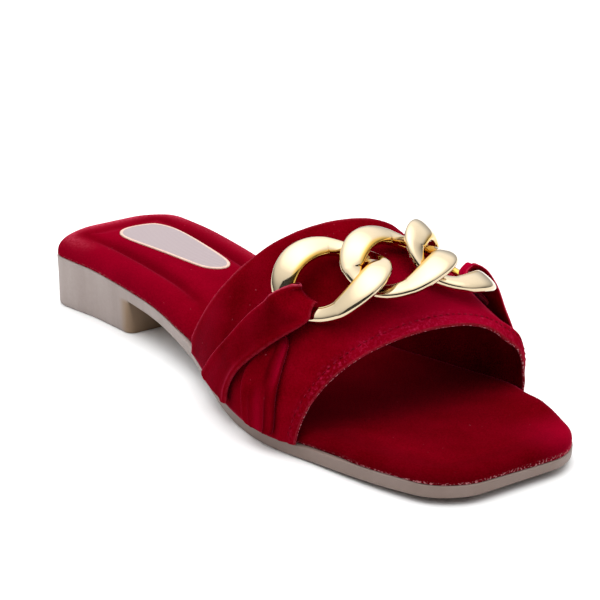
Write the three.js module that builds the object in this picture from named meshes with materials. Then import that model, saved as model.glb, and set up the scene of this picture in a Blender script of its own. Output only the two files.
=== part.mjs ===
// Block heel mule, right shoe: moulded sole with low block heel, padded velvet
// insole, velvet band upper, three twisted curb links held by folded straps.
// Millimetres. +X to the toe, +Y to the wearer's left (the medial side), +Z up.
import * as THREE from 'three';

// ---------------------------------------------------------------- sizes
const LENGTH = 250;            // sole, back of the heel to the toe
const HEEL_CORNER = 15.25;     // plan radius of the heel corners
const TOE_CORNER = 13.98;      // plan radius of the squared toe's corners
const BREAST = 57.2;           // front face of the heel block
const BREAST_DRAFT = 1.0;      // its lean
const EDGE = 4.46;             // sole edge thickness ahead of the heel
const BALL = 0.9;              // the edge is this much thicker at the ball, down to the ground
const HEEL_TAPER = 1.26;       // the heel block is this much smaller at the ground
const UPRIGHT = 0.8;           // share of that taper the lateral side does without
const TREAD_ROUND = 0.8;       // rounding of the lower edge
const JOIN = 0.3;              // gap between neighbouring pieces

const WALL = 2.2;              // velvet band with its backing and lining
const BAND_OUT = { lat: 1.43, med: 0.07 };   // band foot beyond the sole edge
const BULGE = { from: 0.74, over: 0.10, out: 1.6, foot: 1.2 };   // fuller medial side, drawn in again at the foot
const BAND_RIDGE = 6.96;       // ridge of the band, toward the medial side
const BAND_POWER = { lat: 1.84, med: 2.25, z: 2.28 };
const FRONT = { lat: 188.05, med: 199.58, bow: 8.52 };            // toe edge
const BACK = { lat: 107.0, med: 121.49, bow: 41.97, skew: -4.71, round: 3.2, over: 0.028 }; // throat edge

// chain link: half length and half width of the bar's middle line, rise of its corners, how pointed and
// sheared the oval is, width of the bar (mean, change at the corners, change at the sides), lean of its face
const LINK = {
  a: 16.61, b: 13.16, twist: 4.24, point: 1.674, shear: 0.06,
  wide: 7.72, corner: 2.08, side: -0.36, thick: 3.82, lean: [0.099, 0.107, 0.118], power: 2.5,
};
const STRAP = 1.6;             // strap thickness

// ---------------------------------------------------------------- tables
// plan: half widths of the sole from the centre line, and of the band's top on the medial side
const PLAN = [
  { s: 0, lat: 19.06, med: 19.72, top: 19.72 }, { s: 12, lat: 31.69, med: 27.61, top: 27.61 },
  { s: 35, lat: 28.93, med: 29.40, top: 29.40 }, { s: 70, lat: 27.93, med: 28.87, top: 28.87 },
  { s: 105, lat: 32.31, med: 26.48, top: 26.48 }, { s: 140, lat: 41.98, med: 32.00, top: 31.00 },
  { s: 170, lat: 46.76, med: 41.50, top: 38.00 }, { s: 195, lat: 43.29, med: 45.80, top: 43.90 },
  { s: 220, lat: 39.14, med: 39.20, top: 38.84 }, { s: 240, lat: 33.55, med: 30.91, top: 30.91 },
  { s: 250, lat: 30.05, med: 27.41, top: 27.41 },
];
// side: top edge of the sole, and the tread of the forefoot with its toe spring
const SIDE = [
  { s: 0, top: 20.35 }, { s: 30, top: 19.35 }, { s: 60, top: 17.40 },
  { s: 90, top: 14.15 }, { s: 120, top: 9.66 }, { s: 150, top: 5.39 },
  { s: 175, top: 4.58 }, { s: 200, top: 5.36 }, { s: 250, top: 7.17 },
];
const SPRING = [{ s: 0, z: 0 }, { s: 178, z: 0 }, { s: 200, z: 0.65 }, { s: 250, z: 2.59 }];
// insole: thickness, inset from the sole edge (deeper under the band), pressed line
const PAD = [
  { s: 0, thick: 5.9, lat: 0.4, med: 0.4, line: 0.4 }, { s: 20, thick: 6.4, lat: 0.4, med: 0.4, line: 1.0 },
  { s: 60, thick: 7.0, lat: 0.4, med: 0.4, line: 1.5 }, { s: 90, thick: 6.6, lat: 0.5, med: 0.5, line: 0.7 },
  { s: 104, thick: 6.2, lat: 1.3, med: 2.6, line: 0 }, { s: 150, thick: 4.6, lat: 1.3, med: 2.6, line: 0 },
  { s: 204, thick: 4.1, lat: 1.3, med: 2.6, line: 0 }, { s: 216, thick: 4.0, lat: 0.4, med: 0.4, line: 0 },
  { s: 250, thick: 4.0, lat: 0.4, med: 0.4, line: 0 },
];
const LINE_IN = 12;            // pressed line, distance from the insole edge
const LINE_HALF = 3.2;
// band: height of the ridge over the ground
const RIDGE = [{ s: 90, z: 68.31 }, { s: 140, z: 69.19 }, { s: 175, z: 58.05 }, { s: 210, z: 33.02 }];
// chain: place of each link on the band, height over it, turn, roll and pitch in degrees
const LINKS = [
  { s: 174.92, t: 0.3278, h: 5.21, yaw: -31.43, roll: 3.71, pitch: -0.28 },
  { s: 181.81, t: 0.4550, h: 5.91, yaw: -17.84, roll: -8.79, pitch: -3.29 },
  { s: 181.56, t: 0.6264, h: 2.32, yaw: -3.50, roll: -0.76, pitch: 4.42 },
];
// straps: rows on the band as [s, t, height] of the heel-side and the toe-side edge, from the sole up;
// rows over the end link's bar as angles round the link of both edges, then distance across the bar
// (in half widths, plus mm) and over its face; rows under the bar and down to the sole again
const STRAP_LATERAL = {
  link: 0,
  up: [
    [127.8, 0.006, 1.6, 151.2, 0.006, 1.6], [136.5, 0.051, 1.7, 152.4, 0.030, 1.7], [147.8, 0.112, 2.2, 160.0, 0.080, 3.0],
    [157.3, 0.178, 4.0, 170.8, 0.150, 4.0], [162.6, 0.2117, 6.6, 174.3, 0.1796, 4.1],
  ],
  over: [[181, 236, 0.9, 0.7, 2.75], [176, 237, 0, 0, 3.15], [170, 238, -0.8, -0.7, 2.75], [169, 236, -1, -1.8, 0.2]],
  down: [
    [164.4, 0.275, 2.2, 170.0, 0.265, 1.7], [162.6, 0.250, 1.5, 168.9, 0.241, 1.35], [163.8, 0.190, 1.5, 171.0, 0.207, 1.45],
    [165.5, 0.128, 1.6, 176.3, 0.180, 1.6], [162.6, 0.090, 1.6, 177.9, 0.147, 1.6], [161.7, 0.063, 1.6, 178.6, 0.117, 1.6],
    [162.1, 0.040, 1.6, 179.2, 0.080, 1.6], [163.6, 0.006, 1.6, 179.8, 0.006, 1.6],
  ],
};
const STRAP_MEDIAL = {
  link: 2,
  up: [
    [181.5, 0.994, 1.6, 194.5, 0.994, 1.6], [181.0, 0.965, 1.6, 193.8, 0.962, 1.6], [180.2, 0.920, 2.0, 193.0, 0.915, 1.6],
    [178.4, 0.860, 3.3, 191.6, 0.855, 2.1], [176.2, 0.822, 4.2, 189.6, 0.815, 3.6],
  ],
  over: [[30, -8, 1, 1.8, 3.4], [30, -6, 0, 0, 4.9], [30, -2, -0.8, -0.9, 3.9], [30, 4, -1, -2.0, 0.2]],
  down: [
    [181.5, 0.722, 1.3, 187.5, 0.705, 1.7], [181.7, 0.755, 1.25, 187.8, 0.735, 1.4], [178.5, 0.800, 1.4, 186.5, 0.790, 1.4],
    [172.0, 0.860, 1.5, 178.6, 0.850, 1.5], [167.5, 0.920, 1.6, 179.0, 0.915, 1.6], [165.0, 0.965, 1.6, 178.5, 0.962, 1.6],
    [164.0, 0.994, 1.6, 178.0, 0.994, 1.6],
  ],
};

// ---------------------------------------------------------------- helpers
// monotone cubic through one column of a table
function column(rows, key) {
  const x = rows.map((r) => r.s), y = rows.map((r) => r[key]), n = x.length;
  const h = [], d = [];
  for (let i = 0; i < n - 1; i++) { h.push(x[i + 1] - x[i]); d.push((y[i + 1] - y[i]) / h[i]); }
  const end = (h0, h1, d0, d1) => {
    const m = ((2 * h0 + h1) * d0 - h0 * d1) / (h0 + h1);
    if (Math.sign(m) !== Math.sign(d0)) return 0;
    return Math.sign(d0) !== Math.sign(d1) && Math.abs(m) > 3 * Math.abs(d0) ? 3 * d0 : m;
  };
  const m = new Array(n).fill(0);
  for (let i = 1; i < n - 1; i++) {
    if (d[i - 1] * d[i] > 0) {
      const a = 2 * h[i] + h[i - 1], b = h[i] + 2 * h[i - 1];
      m[i] = (a + b) / (a / d[i - 1] + b / d[i]);
    }
  }
  m[0] = end(h[0], h[1], d[0], d[1]);
  m[n - 1] = end(h[n - 2], h[n - 3], d[n - 2], d[n - 3]);
  return (s) => {
    const v = Math.min(Math.max(s, x[0]), x[n - 1]);
    let i = 0;
    while (i < n - 2 && v > x[i + 1]) i++;
    const t = (v - x[i]) / h[i], u = 1 - t;
    return y[i] * (1 + 2 * t) * u * u + m[i] * h[i] * t * u * u
      + y[i + 1] * t * t * (3 - 2 * t) - m[i + 1] * h[i] * t * t * u;
  };
}

function solid(name, verts, faces, material) {
  let volume = 0;
  for (const [a, b, c] of faces) volume += verts[a].dot(new THREE.Vector3().crossVectors(verts[b], verts[c]));
  const index = faces.flatMap(([a, b, c]) => (volume < 0 ? [a, c, b] : [a, b, c]));
  const geometry = new THREE.BufferGeometry();
  geometry.setAttribute('position', new THREE.Float32BufferAttribute(verts.flatMap((v) => [v.x, v.y, v.z]), 3));
  geometry.setIndex(index);
  geometry.computeVertexNormals();
  const mesh = new THREE.Mesh(geometry, material);
  mesh.name = name;
  return mesh;
}

// closed body between two grids of (n + 1) by (m + 1) points, with rings between their rims
function slab(name, n, m, upper, lower, rings, material) {
  const verts = [], faces = [];
  const grid = (f) => {
    const base = verts.length;
    for (let i = 0; i <= n; i++) for (let j = 0; j <= m; j++) verts.push(f(i, j));
    return (i, j) => base + i * (m + 1) + j;
  };
  const rim = [];
  for (let i = 0; i < n; i++) rim.push([i, 0]);
  for (let j = 0; j < m; j++) rim.push([n, j]);
  for (let i = n; i > 0; i--) rim.push([i, m]);
  for (let j = m; j > 0; j--) rim.push([0, j]);
  const up = grid(upper), low = grid(lower);
  for (let i = 0; i < n; i++) {
    for (let j = 0; j < m; j++) {
      faces.push([up(i, j), up(i + 1, j), up(i + 1, j + 1)], [up(i, j), up(i + 1, j + 1), up(i, j + 1)]);
      faces.push([low(i, j), low(i + 1, j + 1), low(i + 1, j)], [low(i, j), low(i, j + 1), low(i + 1, j + 1)]);
    }
  }
  const loops = [rim.map(([i, j]) => up(i, j))];
  for (const ring of rings) {
    const base = verts.length;
    rim.forEach(([i, j]) => verts.push(ring(i, j)));
    loops.push(rim.map((_, k) => base + k));
  }
  loops.push(rim.map(([i, j]) => low(i, j)));
  for (let r = 0; r + 1 < loops.length; r++) {
    for (let k = 0; k < rim.length; k++) {
      const l = (k + 1) % rim.length;
      faces.push([loops[r][k], loops[r + 1][k], loops[r + 1][l]], [loops[r][k], loops[r + 1][l], loops[r][l]]);
    }
  }
  return solid(name, verts, faces, material);
}

const V = (x, y, z) => new THREE.Vector3(x, y, z);
const mix = (a, b, f) => a + (b - a) * f;
const material = (color, roughness, metalness) => new THREE.MeshStandardMaterial({ color, roughness, metalness });

// ---------------------------------------------------------------- last: plan and side
const planLat = column(PLAN, 'lat'), planMed = column(PLAN, 'med'), planTop = column(PLAN, 'top');
const topEdge = column(SIDE, 'top'), spring = column(SPRING, 'z');
const padThick = column(PAD, 'thick'), padLat = column(PAD, 'lat'), padMed = column(PAD, 'med'), padLine = column(PAD, 'line');
const ridge = column(RIDGE, 'z');

const corner = (s, r) => (s >= r ? 0 : r - Math.sqrt(Math.max(0, r * r - (r - s) * (r - s))));
// half width at s of the outline shrunk by `inset`
function halfWidth(s, side, inset) {
  const wide = side < 0 ? planLat(s) : planMed(s);
  return wide - inset - corner(s - inset, HEEL_CORNER - inset) - corner(LENGTH - inset - s, TOE_CORNER - inset);
}
// stations along the shoe, closer together round the corners
const STATIONS = [];
for (let k = 0; k < 6; k++) STATIONS.push(HEEL_CORNER * (1 - Math.cos((k * Math.PI) / 12)));
for (let k = 0; k <= 5; k++) STATIONS.push(mix(HEEL_CORNER, BREAST, k / 5));
STATIONS.push(BREAST + BREAST_DRAFT);
for (let k = 1; k <= 24; k++) STATIONS.push(mix(BREAST + BREAST_DRAFT, LENGTH - TOE_CORNER, k / 24));
for (let k = 5; k >= 0; k--) STATIONS.push(LENGTH - TOE_CORNER * (1 - Math.cos((k * Math.PI) / 12)));
const ROWS = STATIONS.length - 1;
// point of the outline shrunk by `inset`, f from the lateral (0) to the medial edge (1)
function planPoint(i, f, inset) {
  const s = inset + (STATIONS[i] * (LENGTH - 2 * inset)) / LENGTH;
  const upright = STATIONS[i] <= BREAST + BREAST_DRAFT ? UPRIGHT * Math.min(inset, HEEL_TAPER) : 0;
  return [s, mix(-halfWidth(s, -1, inset - upright), halfWidth(s, 1, inset), f)];
}

// ---------------------------------------------------------------- sole unit
const SOLE_COLS = 8;
const ease = (f) => { const x = Math.min(1, Math.max(0, f)); return x * x * (3 - 2 * x); };
const tread = (s) => (s <= BREAST ? 0 : Math.max(topEdge(s) - EDGE - BALL * ease((s - 105) / 48), spring(s)));
const soleInset = (s) => (s <= BREAST + BREAST_DRAFT ? HEEL_TAPER : 0.5);
function soleRing(drop) {
  return (i, j) => {
    const s0 = STATIONS[i], deep = soleInset(s0), low = tread(s0) + TREAD_ROUND;
    const [s, y] = planPoint(i, j / SOLE_COLS, deep * drop);
    return V(s, y, mix(topEdge(s0), low, drop));
  };
}
const soleUnit = slab('sole_unit', ROWS, SOLE_COLS,
  (i, j) => { const [s, y] = planPoint(i, j / SOLE_COLS, 0); return V(s, y, topEdge(STATIONS[i])); },
  (i, j) => {
    const s0 = STATIONS[i];
    const [s, y] = planPoint(i, j / SOLE_COLS, soleInset(s0) + TREAD_ROUND);
    return V(s, y, tread(s0));
  },
  [soleRing(0.5), soleRing(1)], material(0x9d9189, 0.55, 0));

// ---------------------------------------------------------------- insole
const PAD_COLS = [0, 0.012, 0.035, 0.07, 0.12, 0.165, 0.2, 0.235, 0.29, 0.4, 0.5, 0.6, 0.71, 0.765, 0.8, 0.835, 0.88, 0.93, 0.965, 0.988, 1];
const padPoint = (i, j) => {
  const ends = 0.4, s = ends + (STATIONS[i] * (LENGTH - 2 * ends)) / LENGTH;
  const lat = halfWidth(s, -1, ends) + ends - padLat(s), med = halfWidth(s, 1, ends) + ends - padMed(s);
  return [s, mix(-lat, med, PAD_COLS[j])];
};
const padRim = [];
for (let i = 0; i <= ROWS; i++) padRim.push(padPoint(i, 0));
for (let i = ROWS; i >= 0; i--) padRim.push(padPoint(i, PAD_COLS.length - 1));
function rimDistance([x, y]) {
  let best = Infinity;
  padRim.forEach((p, k) => {
    const q = padRim[(k + 1) % padRim.length], dx = q[0] - p[0], dy = q[1] - p[1];
    const f = Math.min(1, Math.max(0, ((x - p[0]) * dx + (y - p[1]) * dy) / (dx * dx + dy * dy || 1)));
    best = Math.min(best, Math.hypot(x - p[0] - f * dx, y - p[1] - f * dy));
  });
  return best;
}
const insole = slab('insole', ROWS, PAD_COLS.length - 1,
  (i, j) => {
    const p = padPoint(i, j), s = p[0], d = rimDistance(p), thick = padThick(s), wall = 0.22 * thick;
    const f = 1 - Math.min(1, d / thick);
    const line = Math.max(0, 1 - Math.abs(d - LINE_IN) / LINE_HALF);
    return V(p[0], p[1], topEdge(s) + JOIN + wall + (thick - wall) * Math.sqrt(1 - f * f) - padLine(s) * line);
  },
  (i, j) => { const [s, y] = padPoint(i, j); return V(s, y, topEdge(s) + JOIN); },
  [], material(0x7c0a1c, 0.9, 0));

// ---------------------------------------------------------------- upper: band over the forefoot
// outer face of the band; t runs from the lateral foot (0) over the ridge to the medial foot (1)
function band(s, t) {
  const c = Math.cos(Math.PI * t), w = Math.abs(Math.sin(Math.PI * t)), z0 = topEdge(s) + JOIN;
  const med = planTop(s) + BAND_OUT.med + (planMed(s) - planTop(s) + BULGE.out) * ease((t - BULGE.from) / BULGE.over) - BULGE.foot * ease((t - 0.9) / 0.1);
  const y = c >= 0
    ? BAND_RIDGE - (planLat(s) + BAND_OUT.lat + BAND_RIDGE) * Math.abs(c) ** (2 / BAND_POWER.lat)
    : BAND_RIDGE + (med - BAND_RIDGE) * Math.abs(c) ** (2 / BAND_POWER.med);
  return V(s, y, z0 + (ridge(s) - z0) * w ** (2 / BAND_POWER.z));
}
// unit frame of the band: out of the face, and across the foot toward the medial side
function bandFrame(s, t) {
  const e = 0.002, t0 = Math.max(0, t - e), t1 = Math.min(1, t + e);
  const across = band(s, t1).sub(band(s, t0)).normalize();
  const along = band(s + 0.5, t).sub(band(s - 0.5, t));
  const out = new THREE.Vector3().crossVectors(along, across).normalize();
  return { out, across };
}
const frontEdge = (t) => mix(FRONT.lat, FRONT.med, t) + 4 * FRONT.bow * t * (1 - t);
const backEdge = (t) => mix(BACK.lat, BACK.med, t) + 4 * BACK.bow * t * (1 - t) + BACK.skew * Math.sin(2 * Math.PI * t)
  + BACK.round * ease((BACK.over - Math.min(t, 1 - t)) / BACK.over);
const BAND_ROWS = 13, BAND_COLS = 36;
const bandFace = (deep) => (i, j) => {
  const t = j / BAND_COLS, s = mix(backEdge(t), frontEdge(t), i / BAND_ROWS);
  return band(s, t).addScaledVector(bandFrame(s, t).out, -deep);
};
function footLevel(face) {     // the inner face ends level with the outer one at both feet
  return (i, j) => {
    const p = face(i, j);
    if (j === 0 || j === BAND_COLS) p.z = bandFace(0)(i, j).z;
    return p;
  };
}
const upper = slab('upper', BAND_ROWS, BAND_COLS, bandFace(0), footLevel(bandFace(WALL)), [], material(0x7c0a1c, 0.9, 0));

// ---------------------------------------------------------------- chain links
function linkFrame(row) {
  const { out, across } = bandFrame(row.s, row.t), rad = Math.PI / 180;
  const v = new THREE.Vector3().crossVectors(out, across).normalize();
  const u = across.clone(), n = out.clone(), q = new THREE.Quaternion();
  const r = new THREE.Quaternion().setFromAxisAngle(n, row.yaw * rad)
    .multiply(q.clone().setFromAxisAngle(u, row.roll * rad)).multiply(q.clone().setFromAxisAngle(v, row.pitch * rad));
  const centre = band(row.s, row.t).addScaledVector(out, row.h);
  return { centre, u: across.clone().applyQuaternion(r), v: v.clone().applyQuaternion(r), n: out.clone().applyQuaternion(r) };
}
// a flat bar bent to a slightly pointed oval and twisted: two corners stand high, two lie low
function barMiddle(th) {
  const power = (v) => Math.sign(v) * Math.abs(v) ** (2 / LINK.point);
  const x = LINK.a * power(Math.cos(th)), y = LINK.b * power(Math.sin(th));
  return V(x + LINK.shear * y, y, (-2 * LINK.twist * x * y) / (LINK.a * LINK.b));
}
function barSection(th) {
  const tangent = barMiddle(th + 0.02).sub(barMiddle(th - 0.02)).normalize();
  const flat = V(0, 0, 1).addScaledVector(tangent, -tangent.z).normalize();
  const out = new THREE.Vector3().crossVectors(tangent, flat);
  const lean = LINK.lean[0] + LINK.lean[1] * Math.cos(2 * th) + LINK.lean[2] * Math.sin(2 * th);
  return {
    mid: barMiddle(th),
    face: flat.clone().multiplyScalar(Math.cos(lean)).addScaledVector(out, Math.sin(lean)),
    wide: out.clone().multiplyScalar(Math.cos(lean)).addScaledVector(flat, -Math.sin(lean)),
    half: (LINK.wide - LINK.corner * Math.sin(2 * th) + LINK.side * Math.sin(th) ** 2) / 2,
  };
}
const inFrame = (frame, p) => frame.centre.clone().addScaledVector(frame.u, p.x).addScaledVector(frame.v, p.y).addScaledVector(frame.n, p.z);
function link(name, row) {
  const turns = 40, sides = 10, frame = linkFrame(row), verts = [], faces = [];
  const power = (v) => Math.sign(v) * Math.abs(v) ** (2 / LINK.power);
  for (let i = 0; i < turns; i++) {
    const { mid, face, wide, half } = barSection(((i + 0.5) * 2 * Math.PI) / turns);
    for (let j = 0; j < sides; j++) {
      const ph = (j * 2 * Math.PI) / sides;
      verts.push(inFrame(frame, mid.clone().addScaledVector(wide, half * power(Math.cos(ph)))
        .addScaledVector(face, (LINK.thick / 2) * power(Math.sin(ph)))));
    }
  }
  for (let i = 0; i < turns; i++) {
    for (let j = 0; j < sides; j++) {
      const k = (i + 1) % turns, l = (j + 1) % sides;
      const a = i * sides + j, b = k * sides + j, c = k * sides + l, d = i * sides + l;
      faces.push([a, b, c], [a, c, d]);
    }
  }
  return solid(name, verts, faces, material(0xd9bd82, 0.12, 1));
}

// ---------------------------------------------------------------- straps
// middle of a strap as rows of points from its heel-side to its toe-side edge
function strap(name, { link: k, up, over, down }) {
  const m = 5, frame = linkFrame(LINKS[k]), columns = [...Array(m + 1).keys()].map((j) => j / m);
  const onBand = ([s0, t0, h0, s1, t1, h1]) => columns.map((f) => {
    const s = mix(s0, s1, f), t = mix(t0, t1, f);
    return band(s, t).addScaledVector(bandFrame(s, t).out, mix(h0, h1, f));
  });
  const onBar = ([a0, a1, share, add, rise]) => columns.map((f) => {
    const { mid, face, wide, half } = barSection((mix(a0, a1, f) * Math.PI) / 180);
    return inFrame(frame, mid.addScaledVector(wide, share * half + add).addScaledVector(face, rise));
  });
  const rows = [...up.map(onBand), ...over.map(onBar), ...down.map(onBand)];
  const curves = columns.map((_, j) => new THREE.CatmullRomCurve3(rows.map((r) => r[j]), false, 'centripetal'));
  const at = [0];
  for (let i = 0; i + 1 < rows.length; i++) {
    const parts = i >= up.length - 1 && i <= up.length + over.length - 1 ? 3 : 2;
    for (let q = 1; q <= parts; q++) at.push(i + q / parts);
  }
  const n = at.length - 1;
  const point = (x, j) => curves[j].getPoint(Math.min(1, Math.max(0, x / (rows.length - 1))));
  const normal = (i, j) => {
    const along = point(at[i] + 0.2, j).sub(point(at[i] - 0.2, j));
    const across = point(at[i], Math.min(m, j + 1)).sub(point(at[i], Math.max(0, j - 1)));
    return along.cross(across).normalize();
  };
  const face = (f) => (i, j) => point(at[i], j).addScaledVector(normal(i, j), f * STRAP);
  return slab(name, n, m, face(0.5), face(-0.5), [], material(0x7c0a1c, 0.9, 0));
}

// ---------------------------------------------------------------- shoe
const shoe = new THREE.Group();
shoe.add(soleUnit, insole, upper,
  link('chain_link_1', LINKS[0]), link('chain_link_2', LINKS[1]), link('chain_link_3', LINKS[2]),
  strap('strap_lateral', STRAP_LATERAL), strap('strap_medial', STRAP_MEDIAL));

// the origin stands on the ground under the middle of the shoe
const box = new THREE.Box3();
shoe.traverse((o) => { if (o.isMesh) box.expandByObject(o, true); });
shoe.position.set(-(box.min.x + box.max.x) / 2, -(box.min.y + box.max.y) / 2, -box.min.z);

export default shoe;
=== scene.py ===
import bpy
import math
import numpy as np
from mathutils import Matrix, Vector


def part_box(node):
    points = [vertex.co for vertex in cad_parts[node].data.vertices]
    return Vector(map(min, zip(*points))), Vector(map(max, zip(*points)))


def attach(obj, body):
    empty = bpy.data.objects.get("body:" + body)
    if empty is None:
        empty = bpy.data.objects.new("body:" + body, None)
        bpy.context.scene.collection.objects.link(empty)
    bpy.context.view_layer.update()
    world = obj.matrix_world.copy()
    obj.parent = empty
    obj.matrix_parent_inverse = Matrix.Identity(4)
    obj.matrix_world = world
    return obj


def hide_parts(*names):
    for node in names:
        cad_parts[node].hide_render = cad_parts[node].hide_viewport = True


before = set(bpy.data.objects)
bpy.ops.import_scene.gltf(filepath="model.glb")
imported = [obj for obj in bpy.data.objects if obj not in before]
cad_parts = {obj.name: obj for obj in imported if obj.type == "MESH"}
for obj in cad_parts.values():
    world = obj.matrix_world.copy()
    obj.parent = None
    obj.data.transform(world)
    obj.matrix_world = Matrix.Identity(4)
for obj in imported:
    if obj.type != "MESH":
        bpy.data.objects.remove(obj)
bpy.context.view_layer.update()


# ------------------------------------------------------------------ sizes, in mm
# s runs from the back of the heel to the toe, y to the medial side, z up
LENGTH, HEEL_CORNER, TOE_CORNER = 250.0, 15.25, 13.98
BREAST, EDGE, BALL, HEEL_TAPER, JOIN = 57.2, 4.46, 0.9, 1.26, 0.3
WALL, RIDGE_Y = 2.2, 6.96
OUT_LAT, OUT_MED, UPRIGHT = 1.43, 0.07, 0.8
BULGE_FROM, BULGE_OVER, BULGE_OUT, BULGE_FOOT = 0.74, 0.10, 1.6, 1.2
POW_LAT, POW_MED, POW_Z = 1.84, 2.25, 2.28
SHIFT_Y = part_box("sole_unit")[0][1] * 1000 + 46.76
LINK_A, LINK_B, TWIST, POINT, SHEAR = 16.61, 13.16, 4.24, 1.674, 0.06
BAR_WIDE, BAR_CORNER, BAR_SIDE, BAR_THICK, BAR_LEAN = 7.72, 2.08, -0.36, 3.82, (0.099, 0.107, 0.118)


def pchip(x, y):
    """Monotone cubic through a table."""
    x, y = np.asarray(x, float), np.asarray(y, float)
    h, n = np.diff(x), len(x)
    d = np.diff(y) / h
    m = np.zeros(n)
    for i in range(1, n - 1):
        if d[i - 1] * d[i] > 0:
            a, b = 2 * h[i] + h[i - 1], h[i] + 2 * h[i - 1]
            m[i] = (a + b) / (a / d[i - 1] + b / d[i])

    def end(h0, h1, d0, d1):
        v = ((2 * h0 + h1) * d0 - h0 * d1) / (h0 + h1)
        if np.sign(v) != np.sign(d0):
            return 0.0
        return 3 * d0 if np.sign(d0) != np.sign(d1) and abs(v) > 3 * abs(d0) else v

    m[0], m[-1] = end(h[0], h[1], d[0], d[1]), end(h[-1], h[-2], d[-1], d[-2])

    def f(s):
        s = np.clip(np.asarray(s, float), x[0], x[-1])
        i = np.clip(np.searchsorted(x, s, side="right") - 1, 0, n - 2)
        t = (s - x[i]) / h[i]
        u = 1 - t
        return y[i] * (1 + 2 * t) * u * u + m[i] * h[i] * t * u * u + y[i + 1] * t * t * (3 - 2 * t) - m[i + 1] * h[i] * t * t * u

    return f


PLAN_S = [0, 12, 35, 70, 105, 140, 170, 195, 220, 240, 250]
plan_lat = pchip(PLAN_S, [19.06, 31.69, 28.93, 27.93, 32.31, 41.98, 46.76, 43.29, 39.14, 33.55, 30.05])
plan_med = pchip(PLAN_S, [19.72, 27.61, 29.40, 28.87, 26.48, 32.00, 41.50, 45.80, 39.20, 30.91, 27.41])
plan_top = pchip(PLAN_S, [19.72, 27.61, 29.40, 28.87, 26.48, 31.00, 38.00, 43.90, 38.84, 30.91, 27.41])
top_edge = pchip([0, 30, 60, 90, 120, 150, 175, 200, 250], [20.35, 19.35, 17.40, 14.15, 9.66, 5.39, 4.58, 5.36, 7.17])
spring = pchip([0, 178, 200, 250], [0, 0, 0.65, 2.59])
ridge = pchip([90, 140, 175, 210], [68.31, 69.19, 58.05, 33.02])
PAD_S = [0, 20, 60, 90, 104, 150, 204, 216, 250]
pad_thick = pchip(PAD_S, [5.9, 6.4, 7.0, 6.6, 6.2, 4.6, 4.1, 4.0, 4.0])
pad_lat = pchip(PAD_S, [0.3, 0.3, 0.3, 0.4, 1.3, 1.3, 1.3, 0.3, 0.3])
pad_med = pchip(PAD_S, [0.3, 0.3, 0.3, 0.4, 2.6, 2.6, 2.6, 0.3, 0.3])
pad_line = pchip([0, 11, 20, 34, 60, 84, 100, 250], [0, 0.1, 0.6, 1.6, 1.9, 1.1, 0, 0])


def ease(x):
    x = np.clip(x, 0, 1)
    return x * x * (3 - 2 * x)


def unit(v):
    return v / np.maximum(np.linalg.norm(v, axis=-1, keepdims=True), 1e-12)


def bump(x, width):
    return np.exp(-((x / width) ** 2))


def waves(x, y, z, size, seed):
    """Smooth irregular waviness between about -1 and 1, the same every time."""
    r = np.random.RandomState(seed)
    out = 0.0
    for k in range(7):
        d = r.normal(size=3)
        d = d / np.linalg.norm(d) * (2 * math.pi / (size * r.uniform(0.7, 1.5)))
        out = out + np.sin(d[0] * x + d[1] * y + d[2] * z + r.uniform(0, 6.28))
    return out / 3.2


# ------------------------------------------------------------------ mesh helpers
def to_m(p):
    p = np.asarray(p, float).reshape(-1, 3)
    return (p + np.array([-LENGTH / 2, SHIFT_Y, 0.0])) * 0.001


def piece(name, verts, faces, mat, nodes=(), sharp=None, attrs=None, facing=True):
    me = bpy.data.meshes.new(name)
    me.from_pydata(to_m(verts).tolist(), [], faces)
    me.update()
    if attrs:
        for key, values in attrs.items():
            a = me.attributes.new(key, "FLOAT", "POINT")
            a.data.foreach_set("value", np.asarray(values, np.float32).ravel())
    import bmesh
    bm = bmesh.new()
    bm.from_mesh(me)
    bmesh.ops.remove_doubles(bm, verts=bm.verts, dist=2e-7)
    if facing:
        bmesh.ops.recalc_face_normals(bm, faces=bm.faces)
    bm.to_mesh(me)
    bm.free()
    me.polygons.foreach_set("use_smooth", [True] * len(me.polygons))
    if sharp:
        me.set_sharp_from_angle(angle=math.radians(sharp))
    me.update()
    me.materials.append(mat)
    o = bpy.data.objects.new(name, me)
    bpy.context.scene.collection.objects.link(o)
    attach(o, "root")
    if nodes:
        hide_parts(*nodes)
    return o


def grid_faces(n, m, base=0, wrap_n=False, wrap_m=False):
    """Quads of an n by m grid of points, stored row by row."""
    f = []
    for i in range(n if wrap_n else n - 1):
        for j in range(m if wrap_m else m - 1):
            a, b = i, (i + 1) % n
            c, d = j, (j + 1) % m
            f.append((base + a * m + c, base + b * m + c, base + b * m + d, base + a * m + d))
    return f


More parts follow.
